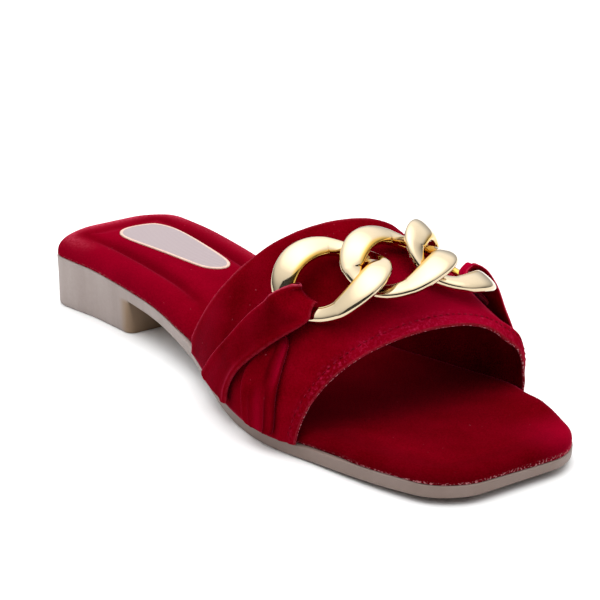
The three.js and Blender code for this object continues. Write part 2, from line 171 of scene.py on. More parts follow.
def spline(points, count, closed=False, at=None):
    """Smooth cubic through points, returned at `count` places evenly spread over it (or at the given row numbers)."""
    p = np.asarray(points, float)
    if closed:
        p = np.vstack([p[-3:], p, p[:3]])
    d = np.sqrt(np.linalg.norm(np.diff(p, axis=0), axis=1))
    x = np.concatenate([[0], np.cumsum(d)])
    n = len(x)
    h = np.diff(x)
    a = np.zeros((n, n))
    r = np.zeros((n, p.shape[1]))
    a[0, 0] = a[-1, -1] = 1
    for i in range(1, n - 1):
        a[i, i - 1], a[i, i], a[i, i + 1] = h[i - 1], 2 * (h[i - 1] + h[i]), h[i]
        r[i] = 6 * ((p[i + 1] - p[i]) / h[i] - (p[i] - p[i - 1]) / h[i - 1])
    m = np.linalg.solve(a, r)

    def val(q):
        i = np.clip(np.searchsorted(x, q, side="right") - 1, 0, n - 2)
        u, v = (x[i + 1] - q)[:, None], (q - x[i])[:, None]
        hh = h[i][:, None]
        return (m[i] * u ** 3 + m[i + 1] * v ** 3) / (6 * hh) + (p[i] / hh - m[i] * hh / 6) * u + (p[i + 1] / hh - m[i + 1] * hh / 6) * v

    lo, hi = (x[3], x[-3]) if closed else (x[0], x[-1])
    if at is not None:
        return val(np.interp(at, np.arange(n), x))
    q = np.linspace(lo, hi, count + 1 if closed else count)
    return val(q[:-1] if closed else q)


# ------------------------------------------------------------------ materials
def new_mat(name):
    mat = bpy.data.materials.new(name)
    mat.use_nodes = True
    nt = mat.node_tree
    nt.nodes.clear()
    out = nt.nodes.new("ShaderNodeOutputMaterial")
    bsdf = nt.nodes.new("ShaderNodeBsdfPrincipled")
    nt.links.new(bsdf.outputs["BSDF"], out.inputs["Surface"])
    co = nt.nodes.new("ShaderNodeTexCoord")
    return mat, nt, bsdf, co


def noise(nt, co, scale, detail=2.0, rough=0.5, stretch=None):
    n = nt.nodes.new("ShaderNodeTexNoise")
    n.inputs["Scale"].default_value = scale
    n.inputs["Detail"].default_value = detail
    n.inputs["Roughness"].default_value = rough
    if stretch:
        mp = nt.nodes.new("ShaderNodeMapping")
        mp.inputs["Scale"].default_value = stretch
        nt.links.new(co.outputs["Object"], mp.inputs["Vector"])
        nt.links.new(mp.outputs["Vector"], n.inputs["Vector"])
    else:
        nt.links.new(co.outputs["Object"], n.inputs["Vector"])
    return n


def ramp(nt, fac, stops):
    r = nt.nodes.new("ShaderNodeValToRGB")
    el = r.color_ramp.elements
    while len(el) < len(stops):
        el.new(0.5)
    for e, (p, c) in zip(el, stops):
        e.position = p
        e.color = (*c, 1.0) if len(c) == 3 else c
    nt.links.new(fac, r.inputs["Fac"])
    return r


def mix_rgb(nt, fac, a, b, mode="MIX"):
    m = nt.nodes.new("ShaderNodeMix")
    m.data_type = "RGBA"
    m.blend_type = mode
    for sock, v in (("Factor", fac), ("A", a), ("B", b)):
        i = [s for s in m.inputs if s.name == sock and s.enabled][0]
        if hasattr(v, "is_linked") or hasattr(v, "links"):
            nt.links.new(v, i)
        elif isinstance(v, (tuple, list)):
            i.default_value = (*v, 1.0) if len(v) == 3 else v
        else:
            i.default_value = v
    return [s for s in m.outputs if s.enabled][0]


def math_node(nt, op, a, b=None, clamp=False):
    m = nt.nodes.new("ShaderNodeMath")
    m.operation = op
    m.use_clamp = clamp
    for i, v in ((0, a), (1, b)):
        if v is None:
            continue
        if hasattr(v, "links"):
            nt.links.new(v, m.inputs[i])
        else:
            m.inputs[i].default_value = v
    return m.outputs[0]


def bump_node(nt, height, strength, distance, bsdf, prev=None):
    b = nt.nodes.new("ShaderNodeBump")
    b.inputs["Strength"].default_value = strength
    b.inputs["Distance"].default_value = distance
    nt.links.new(height, b.inputs["Height"])
    if prev is not None:
        nt.links.new(prev.outputs["Normal"], b.inputs["Normal"])
    nt.links.new(b.outputs["Normal"], bsdf.inputs["Normal"])
    return b


def velvet(name, dark, mid, light, sheen=0.42, patchy=0.66):
    """Short pile: patches where the nap lies differently, fine fibre grain, a painted highlight along the edges from
    the 'edge' attribute, and further painted shade and painted highlights from other attributes.
    """
    mat, nt, bsdf, co = new_mat(name)
    nap = noise(nt, co, 48, 4, 0.55)
    pile = noise(nt, co, 1500, 2, 0.6)
    both = math_node(nt, "ADD", math_node(nt, "MULTIPLY", nap.outputs["Fac"], patchy), math_node(nt, "MULTIPLY", pile.outputs["Fac"], 1 - patchy))
    base = ramp(nt, both, [(0.36, dark), (0.5, mid), (0.66, light)])
    fleck = noise(nt, co, 900, 0, 0.5)
    specks = ramp(nt, fleck.outputs["Fac"], [(0.86, (0, 0, 0)), (0.88, (1, 1, 1))])
    col = mix_rgb(nt, math_node(nt, "MULTIPLY", specks.outputs["Color"], 0.40), base.outputs["Color"], (0.40, 0.08, 0.10))
    # painted shade: the shade attribute mixes the colour toward near black
    sh = nt.nodes.new("ShaderNodeAttribute")
    sh.attribute_name = "shade"
    col = mix_rgb(nt, sh.outputs["Fac"], col, (0.028, 0.0, 0.0008))
    # painted highlight: a brighter magenta mixed in by attribute
    gl = nt.nodes.new("ShaderNodeAttribute")
    gl.attribute_name = "painted_highlight"
    col = mix_rgb(nt, gl.outputs["Fac"], col, (0.40, 0.0007, 0.026))
    tuft = nt.nodes.new("ShaderNodeAttribute")
    tuft.attribute_name = "fleck"
    rough = ramp(nt, noise(nt, co, 900, 4, 0.75).outputs["Fac"], [(0.50, (0, 0, 0)), (0.66, (1, 1, 1))])
    col = mix_rgb(nt, math_node(nt, "MULTIPLY", tuft.outputs["Fac"], rough.outputs["Color"], True), col, (0.44, 0.014, 0.060))
    # painted highlight along the edges, broken up by fibre-like noise
    at = nt.nodes.new("ShaderNodeAttribute")
    at.attribute_name = "edge"
    fray_and_sheen = noise(nt, co, 1100, 2, 0.6)
    fr = ramp(nt, fray_and_sheen.outputs["Fac"], [(0.40, (0.35, 0.35, 0.35)), (0.58, (1, 1, 1))])
    col = mix_rgb(nt, math_node(nt, "MULTIPLY", at.outputs["Fac"], fr.outputs["Color"], True), col, (0.52, 0.06, 0.105))
    lint = nt.nodes.new("ShaderNodeAttribute")
    lint.attribute_name = "fray_and_sheen"
    bits = ramp(nt, noise(nt, co, 1300, 1, 0.5).outputs["Fac"], [(0.53, (0, 0, 0)), (0.62, (1, 1, 1))])
    col = mix_rgb(nt, math_node(nt, "MULTIPLY", lint.outputs["Fac"], bits.outputs["Color"], True), col, (0.60, 0.25, 0.27))
    nt.links.new(col, bsdf.inputs["Base Color"])
    bsdf.inputs["Roughness"].default_value = 0.95
    bsdf.inputs["Specular IOR Level"].default_value = 0.0
    bsdf.inputs["Sheen Weight"].default_value = sheen
    bsdf.inputs["Sheen Roughness"].default_value = 0.24
    bsdf.inputs["Sheen Tint"].default_value = (1.0, 0.09, 0.22, 1)
    bump_node(nt, pile.outputs["Fac"], 0.35, 0.0003, bsdf)
    return mat


def gold_mat():
    mat, nt, bsdf, co = new_mat("plated_gold")
    fine = noise(nt, co, 35, 3, 0.6)
    col = ramp(nt, fine.outputs["Fac"], [(0.3, (0.60, 0.487, 0.325)), (0.7, (0.63, 0.515, 0.35))])
    # painted reflection: deeper yellow where the metal faces itself
    at = nt.nodes.new("ShaderNodeAttribute")
    at.attribute_name = "painted_interreflection"
    nt.links.new(mix_rgb(nt, at.outputs["Fac"], col.outputs["Color"], (0.68, 0.40, 0.06)), bsdf.inputs["Base Color"])
    rg = ramp(nt, noise(nt, co, 260, 4, 0.6).outputs["Fac"], [(0.3, (0.05, 0.05, 0.05)), (0.75, (0.09, 0.09, 0.09))])
    nt.links.new(rg.outputs["Color"], bsdf.inputs["Roughness"])
    bsdf.inputs["Metallic"].default_value = 1.0
    bump_node(nt, noise(nt, co, 90, 2, 0.5).outputs["Fac"], 0.03, 0.0006, bsdf)
    return mat


def sole_mat():
    mat, nt, bsdf, co = new_mat("moulded_sole")
    streak = noise(nt, co, 75, 3, 0.6, (1.0, 1.0, 0.15))
    col = ramp(nt, streak.outputs["Fac"], [(0.30, (0.268, 0.216, 0.194)), (0.50, (0.318, 0.258, 0.238)), (0.72, (0.366, 0.306, 0.286))])
    dust = noise(nt, co, 700, 3, 0.6)
    c2 = mix_rgb(nt, 0.10, col.outputs["Color"], ramp(nt, dust.outputs["Fac"], [(0.35, (0.20, 0.165, 0.145)), (0.7, (0.48, 0.42, 0.40))]).outputs["Color"])
    # painted shade, darker and warmer, growing toward the toe
    at = nt.nodes.new("ShaderNodeAttribute")
    at.attribute_name = "painted_toe_shade"
    c2 = mix_rgb(nt, at.outputs["Fac"], c2, (0.170, 0.110, 0.086))
    # painted shade, warm brown, on the heel breast
    wm = nt.nodes.new("ShaderNodeAttribute")
    wm.attribute_name = "painted_breast_shade"
    c2 = mix_rgb(nt, wm.outputs["Fac"], c2, (0.24, 0.158, 0.096))
    nt.links.new(c2, bsdf.inputs["Base Color"])
    rg = ramp(nt, dust.outputs["Fac"], [(0.3, (0.42, 0.42, 0.42)), (0.7, (0.58, 0.58, 0.58))])
    nt.links.new(rg.outputs["Color"], bsdf.inputs["Roughness"])
    bsdf.inputs["Specular IOR Level"].default_value = 0.35
    bump_node(nt, dust.outputs["Fac"], 0.12, 0.0003, bsdf)
    return mat


def label_mats():
    mat, nt, bsdf, co = new_mat("label_cloth")
    w = nt.nodes.new("ShaderNodeTexWave")
    w.wave_type = "BANDS"
    w.bands_direction = "X"
    w.inputs["Scale"].default_value = 260
    w.inputs["Distortion"].default_value = 0.4
    nt.links.new(co.outputs["Object"], w.inputs["Vector"])
    col = ramp(nt, w.outputs["Fac"], [(0.2, (0.302, 0.232, 0.243)), (0.8, (0.330, 0.256, 0.268))])
    nt.links.new(col.outputs["Color"], bsdf.inputs["Base Color"])
    bsdf.inputs["Roughness"].default_value = 0.5
    bsdf.inputs["Sheen Weight"].default_value = 0.2
    bump_node(nt, w.outputs["Fac"], 0.3, 0.0002, bsdf)
    rim, nt, bsdf, co = new_mat("label_border")
    n = noise(nt, co, 900, 2, 0.5)
    col = ramp(nt, n.outputs["Fac"], [(0.3, (0.56, 0.37, 0.29)), (0.7, (0.70, 0.50, 0.41))])
    nt.links.new(col.outputs["Color"], bsdf.inputs["Base Color"])
    bsdf.inputs["Roughness"].default_value = 0.45
    bump_node(nt, n.outputs["Fac"], 0.2, 0.0002, bsdf)
    return mat, rim


VELVET = velvet("velvet_upper", (0.105, 0.0, 0.0015), (0.160, 0.0, 0.0039), (0.214, 0.0003, 0.0080))
# painted shade: the inside of the band is a darker copy of the band's velvet with less sheen
VELVET_IN_SHADED = velvet("velvet_lining_shaded", (0.09, 0.0, 0.002), (0.135, 0.0, 0.004), (0.18, 0.0, 0.006), sheen=0.14)
VELVET_PAD = velvet("velvet_insole", (0.100, 0.0, 0.0016), (0.134, 0.0, 0.0034), (0.171, 0.0003, 0.0060), patchy=0.5)
GOLD, SOLE = gold_mat(), sole_mat()
LABEL, BORDER = label_mats()


# ------------------------------------------------------------------ plan of the last
def corner(s, r):
    r = np.asarray(r, float)
    return np.where(s >= r, 0.0, r - np.sqrt(np.maximum(0, r * r - (r - s) ** 2)))


def half_width(s, side, inset):
    wide = plan_lat(s) if side < 0 else plan_med(s)
    return wide - inset - corner(s - inset, HEEL_CORNER - inset) - corner(LENGTH - inset - s, TOE_CORNER - inset)


def stations(extra=()):
    a = HEEL_CORNER * (1 - np.cos(np.linspace(0, math.pi / 2, 22)))
    b = np.linspace(HEEL_CORNER, LENGTH - TOE_CORNER, 150)[1:-1]
    c = LENGTH - TOE_CORNER * (1 - np.cos(np.linspace(math.pi / 2, 0, 22)))
    return np.unique(np.round(np.concatenate([a, b, c, np.asarray(extra, float)]), 4))


def rim_indices(n, m):
    return [(i, 0) for i in range(n)] + [(n, j) for j in range(m)] + [(i, m) for i in range(n, 0, -1)] + [(0, j) for j in range(m, 0, -1)]


def lens_body(st, cols, plan_point, rings, top_z, bottom_z, top_inset, bottom_inset):
    """Closed body: a top grid, rings round its rim from top to bottom, and a bottom grid. Rings are (inset, z) functions of the station index."""
    n, m = len(st) - 1, cols
    f = np.linspace(0, 1, m + 1)
    verts, faces, base = [], [], 0
    ii = np.repeat(np.arange(n + 1), m + 1)
    ff = np.tile(f, n + 1)
    rim = rim_indices(n, m)
    ri = np.array([a for a, _ in rim])
    rf = np.array([f[b] for _, b in rim])
    s, y = plan_point(ii, ff, top_inset(ii))
    top = np.stack([s, y, top_z(ii, s, y)], -1)
    verts.append(top)
    faces += grid_faces(n + 1, m + 1)
    prev = [a * (m + 1) + b for a, b in rim]
    base = len(top)
    for inset, z in rings:
        s, y = plan_point(ri, rf, inset(ri))
        verts.append(np.stack([s, y, z(ri)], -1))
        cur = list(range(base, base + len(rim)))
        base += len(rim)
        for k in range(len(rim)):
            l = (k + 1) % len(rim)
            faces.append((prev[k], cur[k], cur[l], prev[l]))
        prev = cur
    s, y = plan_point(ii, ff, bottom_inset(ii))
    bot = np.stack([s, y, bottom_z(ii)], -1)
    verts.append(bot)
    faces += [tuple(reversed(q)) for q in grid_faces(n + 1, m + 1, base)]
    low = [base + a * (m + 1) + b for a, b in rim]
    for k in range(len(rim)):
        l = (k + 1) % len(rim)
        faces.append((prev[k], low[k], low[l], prev[l]))
    return np.vstack(verts), faces


# ------------------------------------------------------------------ sole unit with its heel
def toe_drop(s, y):
    """How far the velvet is drawn down over the sole's edge across the toe."""
    return 1.15 * ease((s - 228) / 19) * (0.30 + 0.70 * ease((y + 26) / 40))


def build_sole():
    round_r = 3.2
    near = BREAST - round_r + round_r * np.sin(np.linspace(0, math.pi / 2, 9))
    st = stations(list(near) + [BREAST + 0.06])
    ib = int(np.argmin(abs(st - BREAST)))
    heel = np.arange(len(st)) <= ib
    z_top = top_edge(st)
    under = np.maximum(z_top - EDGE - BALL * ease((st - 105) / 48), spring(st))
    back = np.where(heel, round_r - np.sqrt(np.maximum(0, round_r ** 2 - np.maximum(0, st - (BREAST - round_r)) ** 2)), 0)

    def plan_point(i, f, inset):
        s = inset * (1 - 2 * st[i] / LENGTH) + st[i]
        s = np.where(abs(st[i] - BREAST) < 8, st[i], s)
        lat = half_width(s, -1, inset - np.where(heel[i], UPRIGHT * np.clip(inset - 0.25, 0, HEEL_TAPER - 0.25), 0))
        return s, -lat + f * (lat + half_width(s, 1, inset))

    rings = [(lambda i: 0.0 * i, lambda i: z_top[i] - 0.3)]
    for f in (0.35, 0.7):
        rings.append((lambda i, f=f: 0.18 * f + 0 * i, lambda i, f=f: z_top[i] - 0.3 - f * (z_top[i] - under[i] - 1.0)))
    rings.append((lambda i: np.where(heel[i], 0.22 + 0.25 * back[i] * 0, 0.22), lambda i: under[i] + 0.65))
    for k, f in enumerate((0.12, 0.3, 0.5, 0.7, 0.88, 0.96)):
        rings.append((lambda i, f=f, k=k: np.where(heel[i], 0.25 + (HEEL_TAPER - 0.25) * f + back[i] * min(1, f * 6), 0.22 + 0.5 * (1 - math.cos(min(1, (k + 1) / 4) * math.pi / 2)) + 0.002 * k),
                      lambda i, f=f, k=k: np.where(heel[i], under[i] + 0.65 - (under[i] - 0.05) * f, under[i] + 0.65 * (1 - math.sin(min(1, (k + 1) / 4) * math.pi / 2)))))
    rings.append((lambda i: np.where(heel[i], HEEL_TAPER + 0.35 + back[i], 0.74), lambda i: np.where(heel[i], 0.12, under[i])))
    v, f = lens_body(st, 14, plan_point, rings,
                     lambda i, s, y: z_top[i], lambda i: np.where(heel[i], 0.0, under[i]),
                     lambda i: 0.35 + 0.0 * i, lambda i: np.where(heel[i], HEEL_TAPER + 0.8 + back[i], 0.78))
    x, zt = v[:, 0], top_edge(v[:, 0])
    low = ease((zt - EDGE + 0.6 - v[:, 2]) / 0.8)
    v[:, 2] -= toe_drop(x, v[:, 1]) * np.clip((v[:, 2] - zt + 3.8) / 3.5, 0, 1)
    # painted shade, warm brown, on the heel breast and the underside just ahead of it
    painted_breast_shade = low * ease((x - (BREAST - 6.5)) / 5.0) * (1 - ease((x - BREAST - 2) / 25))
    # painted shade on the sole, growing toward the toe
    painted_toe_shade = 0.72 * ease((x - 100) / 60)
    return piece("sole_unit_look", v, f, SOLE, ("sole_unit",), sharp=38, attrs={"painted_breast_shade": painted_breast_shade, "painted_toe_shade": painted_toe_shade})


# ------------------------------------------------------------------ padded insole
PAD_RINGS = [0.0, 0.12, 0.35, 0.7, 1.15, 1.7, 2.4, 3.2, 4.1, 5.1, 6.2, 7.4, 8.4, 9.2, 10.0, 10.7, 11.4, 12.0, 12.6, 13.3, 14.0, 14.8, 15.8, 17.0, 18.4]
LINE_IN, LINE_W = 12.3, 2.4


def pad_height(s, d):
    """Height of the insole's face at distance d from its edge."""
    thick = pad_thick(s)
    wall = 0.16 * thick
    r = thick * 1.02
    f = 1 - np.clip(d / r, 0, 1)
    crown = 0.75 * ease((d - 13.5) / 7) * (1 - ease((s - 70) / 30))
    return top_edge(s) + JOIN + wall + (thick - wall) * np.sqrt(1 - f * f) - pad_line(s) * bump(d - LINE_IN, LINE_W) + crown


def build_insole():
    st = stations()
    n = len(st) - 1

    def plan_point(i, f, inset):
        ends = 0.3 + inset
        s = ends + st[i] * (LENGTH - 2 * ends) / LENGTH
        lat = half_width(s, -1, ends) + 0.3 - pad_lat(s)
        med = half_width(s, 1, ends) + 0.3 - pad_med(s)
        lat, med = np.maximum(lat, 0.4), np.maximum(med, 0.4)
        return s, -lat + f * (lat + med)

    last = PAD_RINGS[-1]

    def top_z(i, s, y):
        z = pad_height(s, last + 0 * s)
        return z + 0.10 * waves(s, y, z, 34, 5)

    rings = []
    for d in reversed(PAD_RINGS[:-1]):
        def z(i, d=d):
            s = (0.3 + d) + st[i] * (LENGTH - 2 * (0.3 + d)) / LENGTH
            return pad_height(s, d) + 0.05 * waves(s, i * 0.9, s * 0, 16, 9) * (d < 6)
        rings.append((lambda i, d=d: d + 0.0 * i, z))

    def zb(i):
        s = 0.3 + st[i] * (LENGTH - 0.6) / LENGTH
        return top_edge(s) + JOIN * 0.4
    rings.append((lambda i: 0.06 + 0.0 * i, lambda i: zb(i) + 0.25))
    v, f = lens_body(st, 30, plan_point, rings, top_z, zb, lambda i: last + 0.0 * i, lambda i: 0.3 + 0.0 * i)
    v[:, 2] -= toe_drop(v[:, 0], v[:, 1]) * np.clip((0.80 - v[:, 2] + top_edge(v[:, 0])) / 0.4, 0, 1)
    # pale fibres along the lower rim, most of them round the toe
    low = zb(np.arange(n + 1))
    lo = np.interp(v[:, 0], st, low) - toe_drop(v[:, 0], v[:, 1])
    fray_and_sheen = np.clip(1.15 - (v[:, 2] - lo) / 0.75, 0, 1) * (0.35 + 0.65 * ease((v[:, 0] - 150) / 60))
    # painted shade in the groove round the heel seat
    rows_d = np.concatenate([np.full((n + 1) * 31, last)] + [np.full(2 * (n + 30), d) for d in reversed(PAD_RINGS[:-1])])
    dist = np.zeros(len(v))
    dist[:len(rows_d)] = rows_d
    shade = 0.40 * bump(dist - LINE_IN - 0.3, 2.1) * np.clip(pad_line(v[:, 0]) / 1.8, 0, 1)
    # painted shade where the band overhangs, along the toe's rim on the lateral side and across the front, and in the
    # middle of the toe; painted highlight on the heel seat and at the toe's medial corner
    sx, sy = v[:, 0], v[:, 1]
    fe = front_edge(np.clip((sy + 43) / 86, 0, 1))
    shade = np.maximum(shade, 0.55 * ease((fe + 10 - sx) / 24) * ease((sx - 118) / 12))
    shade = np.maximum(shade, 0.33 * ease((17 - dist) / 12) * ease((sx - 180) / 20) * np.maximum(ease((8 - sy) / 20), ease((sx - 228) / 14) * ease((26 - sy) / 10)))
    shade = np.maximum(shade, 0.13 * ease((sx - 192) / 16) * ease((27 - np.abs(sy + 2)) / 12))
    painted_highlight = 0.25 * (1 - ease((sx - 45) / 85)) * (1 - 0.7 * bump(dist - LINE_IN, 3.0)) + 0.30 * ease((sx - 222) / 22) * ease((sy - 2) / 24)
    # painted highlight along the rear rim and, fainter, along the medial rim of the heel seat
    edge = bump(dist - 4.0, 3.0) * np.maximum(1.05 * (1 - ease((sx - 8) / 24)) * ease((sy + 32) / 12), 0.28 * ease((sy - 12) / 8) * (1 - ease((sx - 85) / 25)))
    o = piece("insole_look", v, f, VELVET_PAD, ("insole",), attrs={"fray_and_sheen": fray_and_sheen, "shade": shade, "painted_highlight": painted_highlight, "edge": edge})
    return o


# ------------------------------------------------------------------ band over the forefoot
def band(s, t):
    c, w = np.cos(np.pi * t), np.abs(np.sin(np.pi * t))
    z0 = top_edge(s) + JOIN
    med = plan_top(s) + OUT_MED + (plan_med(s) - plan_top(s) + BULGE_OUT) * ease((t - BULGE_FROM) / BULGE_OVER) - BULGE_FOOT * ease((t - 0.9) / 0.1)
    y = np.where(c >= 0,
                 RIDGE_Y - (plan_lat(s) + OUT_LAT + RIDGE_Y) * np.abs(c) ** (2 / POW_LAT),
                 RIDGE_Y + (med - RIDGE_Y) * np.abs(c) ** (2 / POW_MED))
    return np.stack(np.broadcast_arrays(s, y, z0 + (ridge(s) - z0) * w ** (2 / POW_Z)), -1)


def band_frame(s, t):
    s, t = np.broadcast_arrays(np.asarray(s, float), np.asarray(t, float))
    e = 0.002
    across = unit(band(s, np.minimum(1, t + e)) - band(s, np.maximum(0, t - e)))
    along = band(s + 0.5, t) - band(s - 0.5, t)
    return unit(np.cross(along, across)), across


def front_edge(t):
    return 188.05 + (199.58 - 188.05) * t + 4 * 8.52 * t * (1 - t)


def back_edge(t):
    return 107.0 + (121.49 - 107.0) * t + 4 * 41.97 * t * (1 - t) - 4.71 * np.sin(2 * np.pi * t) + 3.2 * ease((0.028 - np.minimum(t, 1 - t)) / 0.028)


SEAM_IN = 3.5                  # stitch line, behind the front edge


LIP = 1.3                      # wall at the turned edges


def lip_in(ahead, t):
    """At the medial end the front lip is drawn in toward the foot and the hem swells a little behind it."""
    return (1.6 * ease((4.5 - ahead) / 4.5) - 1.3 * bump(ahead - 4.6, 2.8)) * ease((t - 0.58) / 0.27) * (1 - 0.7 * ease((t - 0.93) / 0.06))


def build_upper():
    nt_, r = 260, LIP / 2
    t = np.linspace(0, 1, nt_ + 1)
    sb, sf = back_edge(t), front_edge(t)
    # ring round the band's section: outer face, front lip, inner face, back lip
    u = np.concatenate([np.linspace(0, 0.8, 56)[:-1], np.linspace(0.8, 1, 34)])
    lip = np.linspace(0, math.pi, 12)[1:-1]
    ins = np.concatenate([np.linspace(1, 0.85, 8)[:-1], np.linspace(0.85, 0.15, 22)[:-1], np.linspace(0.15, 0, 8)])
    rows_s, rows_d, rows_k, rows_a = [], [], [], []
    for a in u:
        rows_s.append(sb + r + (sf - sb - 2 * r) * a)
        rows_d.append(np.zeros_like(t))
        rows_k.append(0), rows_a.append(0)
    for a in lip:
        rows_s.append(sf - r + r * math.sin(a))
        rows_d.append(np.full_like(t, r - r * math.cos(a)))
        rows_k.append(1), rows_a.append(a)
    for a in ins:
        q = sb + r + (sf - sb - 2 * r) * a
        rows_s.append(q)
        rows_d.append(LIP + (WALL - LIP) * ease((np.minimum(q - sb, sf - q) - r) / 9))
        rows_k.append(2), rows_a.append(0)
    for a in lip:
        rows_s.append(sb + r - r * math.sin(a))
        rows_d.append(np.full_like(t, r + r * math.cos(a)))
        rows_k.append(3), rows_a.append(math.pi - a)
    S, D, K, A = np.array(rows_s).T, np.array(rows_d).T, np.array(rows_k), np.array(rows_a)
    T = np.repeat(t[:, None], S.shape[1], 1)
    P = band(S, T)
    N, _ = band_frame(S, T)
    out = (K == 0)[None, :] * 1.0
    ahead = sf[:, None] - S            # distance behind the front edge
    behind = S - sb[:, None]
    D = D + out * (0.30 * bump(ahead - SEAM_IN, 0.7) - 0.12 * bump(ahead - 2.0, 0.9) - 0.10 * bump(ahead - 5.6, 1.5))
    D = D - out * 0.10 * bump(behind - 1.8, 1.2)
    soft = np.sin(np.pi * T) ** 0.5
    D = D + out * soft * (0.22 * waves(P[..., 0], P[..., 1], P[..., 2], 26, 3) + 0.07 * waves(P[..., 0], P[..., 1], P[..., 2], 9, 4))
    D = D - 0.06 * ((K == 1) | (K == 3))[None, :] * waves(P[..., 0], P[..., 1], P[..., 2], 5, 8)
    # soft folds where the band turns in at its front foot
    D = D - out * (0.45 * bump(ahead - 6.5 - 30 * T, 1.1) * bump(T - 0.02, 0.03))
    D = D + lip_in(ahead, T)
    X = P - N * D[..., None]
    foot = band(S, T)[..., 2]
    X[0, :, 2] = foot[0]
    X[-1, :, 2] = foot[-1]
    n, m = X.shape[:2]
    faces = grid_faces(n, m, wrap_m=True)
    faces.append(tuple(range(m)))
    faces.append(tuple((n - 1) * m + k for k in reversed(range(m))))
    fray_and_sheen = np.zeros_like(S) + (K == 1)[None, :] * 1.5 * bump(A - 1.75, 0.38)[None, :]
    # painted highlight along the back lip and just behind it on the outer face, faint along the front lip
    edge = np.zeros_like(S) + (K == 3)[None, :] * bump(A - 0.8, 0.8)[None, :] + (K == 1)[None, :] * 0.18 + out * 0.5 * bump(behind, 0.9)
    # painted highlight on the outer face toward the medial front
    painted_highlight = out * 0.55 * bump(T - 0.58, 0.20) * ease((30 - ahead) / 26)
    # painted shade over the lateral back part of the outer face
    shade = out * 0.24 * ease((0.42 - T) / 0.2) * ease((behind - 1.5) / 5) * (1 - ease((behind - 38) / 15))
    fleck = out * ease((ahead + 0.3) / 0.9) * ease((6.4 - ahead) / 4.6) * (0.36 + 0.55 * bump(T - 0.45, 0.28)) * (0.75 + 0.35 * waves(P[..., 0], P[..., 1], P[..., 2], 7, 31))
    o = piece("upper_look", X.reshape(-1, 3), faces, VELVET, ("upper",), attrs={"edge": edge.ravel(), "fray_and_sheen": fray_and_sheen.ravel(), "painted_highlight": painted_highlight.ravel(), "fleck": fleck.ravel(), "shade": shade.ravel()})
    o.data.materials.append(VELVET_IN_SHADED)
    inner = np.zeros(len(o.data.polygons), dtype=np.int32)
    k2 = (K == 2)
    for q in o.data.polygons:
        ks = [v % m for v in q.vertices]
        if len(ks) == 4 and all(k2[k] for k in ks):
            inner[q.index] = 1
    o.data.polygons.foreach_set("material_index", inner)
    return o


def build_stitches():
    """Lockstitch along the front edge: short thread runs, each dipping into the pile at its ends."""
    tt = np.linspace(0.012, 0.988, 1500)
    path = band(front_edge(tt) - SEAM_IN, tt)
    nn, _ = band_frame(front_edge(tt) - SEAM_IN, tt)
    path = path - nn * (0.12 + lip_in(SEAM_IN, tt))[:, None]
    arc = np.concatenate([[0], np.cumsum(np.linalg.norm(np.diff(path, axis=0), axis=1))])
    step, run, rad = 2.5, 1.5, 0.14
    verts, faces = [], []
    count = int(arc[-1] / step)
    for k in range(count):
        q = np.linspace(k * step, k * step + run, 7)
        c = np.stack([np.interp(q, arc, path[:, i]) for i in range(3)], -1)
        no = unit(np.stack([np.interp(q, arc, nn[:, i]) for i in range(3)], -1))
        tg = unit(np.gradient(c, axis=0))
        side = unit(np.cross(tg, no))
        w = np.sin(np.linspace(0.18, math.pi - 0.18, 7))
        c = c + no * (0.28 * w[:, None] - 0.16)
        base = len(verts) * 1
        ring = []
        for i in range(7):
            for j in range(7):
                a = 2 * math.pi * j / 7
                ring.append(c[i] + (side[i] * math.cos(a) + no[i] * math.sin(a)) * rad * (0.35 + 0.65 * w[i]))
        verts += ring
        faces += grid_faces(7, 7, base, wrap_m=True)
        faces.append(tuple(base + j for j in range(7)))
        faces.append(tuple(base + 42 + j for j in reversed(range(7))))
    mat, nt, bsdf, co = new_mat("thread")
    n = noise(nt, co, 1600, 2, 0.5)
    col = ramp(nt, n.outputs["Fac"], [(0.42, (0.14, 0.0003, 0.004)), (0.66, (0.30, 0.010, 0.030))])
    nt.links.new(col.outputs["Color"], bsdf.inputs["Base Color"])
    bsdf.inputs["Roughness"].default_value = 0.85
    bsdf.inputs["Specular IOR Level"].default_value = 0.03
    bump_node(nt, n.outputs["Fac"], 0.3, 0.0002, bsdf)
    return piece("front_stitches", np.array(verts), faces, mat)


# ------------------------------------------------------------------ chain
LINKS = [(174.92, 0.3278, 5.21, -31.43, 3.71, -0.28), (181.81, 0.4550, 5.91, -17.84, -8.79, -3.29), (181.56, 0.6264, 2.32, -3.50, -0.76, 4.42)]


def turn(axis, deg):
    a = math.radians(deg)
    k = np.array([[0, -axis[2], axis[1]], [axis[2], 0, -axis[0]], [-axis[1], axis[0], 0]])
    return np.eye(3) + math.sin(a) * k + (1 - math.cos(a)) * k @ k


def link_frame(row):
    s, t, h, yaw, roll, pitch = row
    n, u = band_frame(s, t)
    v = unit(np.cross(n, u))
    r = turn(n, yaw) @ turn(u, roll) @ turn(v, pitch)
    return band(s, t) + n * h, r @ u, r @ v, r @ n


def bar_middle(th):
    def power(v):
        return np.sign(v) * np.abs(v) ** (2 / POINT)
    x, y = LINK_A * power(np.cos(th)), LINK_B * power(np.sin(th))
    return np.stack([x + SHEAR * y, y, -2 * TWIST * x * y / (LINK_A * LINK_B)], -1)


def bar_section(th):
    """Middle of the bent bar, its face and cross directions and half width at angles round the link."""
    tg = unit(bar_middle(th + 0.02) - bar_middle(th - 0.02))
    flat = unit(np.array([0, 0, 1.0]) - tg * tg[:, 2:3])
    out = np.cross(tg, flat)
    lean = (BAR_LEAN[0] + BAR_LEAN[1] * np.cos(2 * th) + BAR_LEAN[2] * np.sin(2 * th))[:, None]
    half = (BAR_WIDE - BAR_CORNER * np.sin(2 * th) + BAR_SIDE * np.sin(th) ** 2) / 2
    return bar_middle(th), flat * np.cos(lean) + out * np.sin(lean), out * np.cos(lean) - flat * np.sin(lean), half


